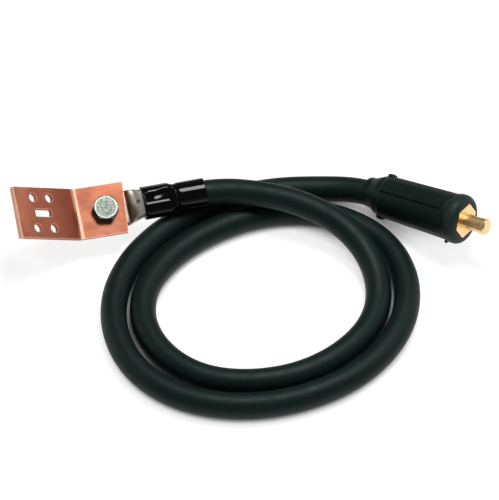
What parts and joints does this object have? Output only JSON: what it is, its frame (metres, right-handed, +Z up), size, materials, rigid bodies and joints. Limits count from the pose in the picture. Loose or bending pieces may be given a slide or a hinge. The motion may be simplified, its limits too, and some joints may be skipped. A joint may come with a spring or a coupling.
{
  "type": "welding power lead",
  "caption": "Short heavy rubber power cable lying in loose turns, with a brass bayonet plug at one end and a bolted lug with a bent copper terminal bracket at the other.",
  "frame": {"origin": "on the floor, under the middle of the box round the two end fittings (all nodes but the cable's jacket and conductor)", "axes": "+X from the bracket towards the plug, +Z up, the turns of cable lie towards -Y"},
  "size_m": [0.3868, 0.2557, 0.0744],
  "materials": {
    "copper_sheet": "bare rolled copper, satin",
    "zinc_steel": "zinc plated, dull",
    "tinned_copper": "tinned, satin",
    "shrink_black": "glossy heat-shrink",
    "cable_rubber": "smooth matte rubber",
    "conductor_copper": "bare fine-strand copper",
    "plug_brass": "machined brass",
    "boot_rubber": "moulded rubber, matte"
  },
  "bodies": {
    "lead": {"cable_lug": "tinned_copper", "heat_shrink_sleeve": "shrink_black", "terminal_bolt": "zinc_steel", "cable_jacket": "cable_rubber", "cable_conductor": "conductor_copper", "plug_contact": "plug_brass", "plug_ferrule": "conductor_copper", "plug_clamp_screw_rear": "zinc_steel", "plug_clamp_screw_front": "zinc_steel", "plug_boot": "boot_rubber"},
    "bracket": {"copper_bracket": "copper_sheet"},
    "washers": {"plain_washer": "zinc_steel", "spring_washer": "zinc_steel"},
    "nut": {"terminal_nut": "zinc_steel"}
  },
  "joints": [
    {"name": "bracket_swivel", "type": "hinge", "parent": "lead", "child": "bracket", "pos_m": [-0.1172, 0.0008, 0.0333], "axis": [0.1136, -0.4555, 0.8829], "range_deg": [-2, 12]},
    {"name": "nut_travel", "type": "slide", "parent": "lead", "child": "washers", "axis": [-0.1136, 0.4555, -0.8829], "range_m": [0, 0.0035]},
    {"name": "nut_turn", "type": "hinge", "parent": "washers", "child": "nut", "pos_m": [-0.1172, 0.0008, 0.0333], "axis": [-0.1136, 0.4555, -0.8829], "range_deg": [0, 721]}
  ],
  "couplings": [
    {"joint": "nut_turn", "follows": "nut_travel", "rad_per_m": 3590.4}
  ]
}
